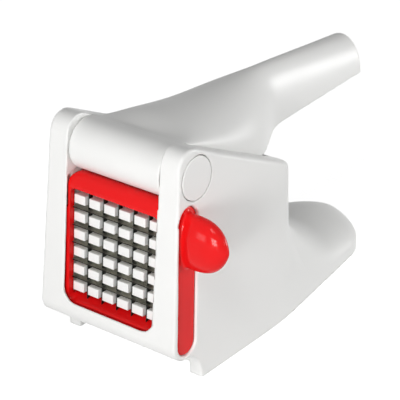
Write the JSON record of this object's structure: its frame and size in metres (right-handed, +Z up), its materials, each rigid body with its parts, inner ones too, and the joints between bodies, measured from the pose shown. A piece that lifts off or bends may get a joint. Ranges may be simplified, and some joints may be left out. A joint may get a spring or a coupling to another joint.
{
  "type": "french fry cutter",
  "caption": "Counter-top french fry cutter: a hinged lever swings a plate of square studs through a grid of steel blades in a slide-out cassette with a thumb tab.",
  "frame": {"origin": "on the table plane, midway between the body's two sides, on the flat underside of the base cover", "axes": "+X to the user's right, towards the thumb tab; +Y from the front window to the rear and along the closed handle; +Z up"},
  "size_m": [0.1144, 0.2141, 0.1296],
  "materials": {
    "white_plastic": "moulded gloss",
    "inner_plastic": "moulded satin",
    "red_plastic": "moulded high gloss",
    "blade_steel": "ground",
    "pin_steel": "turned",
    "nylon": "plain",
    "rubber": "matt"
  },
  "bodies": {
    "body": {"body_shell": "white_plastic", "base_cover": "inner_plastic", "base_screw_front_left": "pin_steel", "base_screw_front_right": "pin_steel", "base_screw_rear_left": "pin_steel", "base_screw_rear_right": "pin_steel", "foot_pad_front_left": "rubber", "foot_pad_front_right": "rubber", "foot_pad_rear_left": "rubber", "foot_pad_rear_right": "rubber", "hinge_axle": "pin_steel", "axle_bush_left": "nylon", "axle_bush_right": "nylon", "hinge_cap_left": "white_plastic", "hinge_cap_right": "white_plastic"},
    "lever": {"lever_shell": "white_plastic", "handle_liner": "inner_plastic", "pusher_arm": "inner_plastic", "stud_plate": "white_plastic", "stud_row_1": "white_plastic", "stud_row_2": "white_plastic", "stud_row_3": "white_plastic", "stud_row_4": "white_plastic", "stud_row_5": "white_plastic", "stud_row_6": "white_plastic", "stud_plate_screw_lower_left": "pin_steel", "stud_plate_screw_lower_right": "pin_steel", "stud_plate_screw_upper_left": "pin_steel", "stud_plate_screw_upper_right": "pin_steel", "arm_screw_left": "pin_steel", "arm_screw_right": "pin_steel"},
    "cassette": {"cassette_frame": "red_plastic", "cassette_retainer": "red_plastic", "cassette_end_plate": "red_plastic", "level_blade_1": "blade_steel", "level_blade_2": "blade_steel", "level_blade_3": "blade_steel", "level_blade_4": "blade_steel", "level_blade_5": "blade_steel", "upright_blade_1": "blade_steel", "upright_blade_2": "blade_steel", "upright_blade_3": "blade_steel", "upright_blade_4": "blade_steel", "upright_blade_5": "blade_steel"}
  },
  "joints": [
    {"name": "lever_hinge", "type": "hinge", "parent": "body", "child": "lever", "pos_m": [0, -0.082, 0.1138], "axis": [1, 0, 0], "range_deg": [0, 110]},
    {"name": "cassette_slide", "type": "slide", "parent": "body", "child": "cassette", "axis": [1, 0, 0], "range_m": [0, 0.072]}
  ]
}
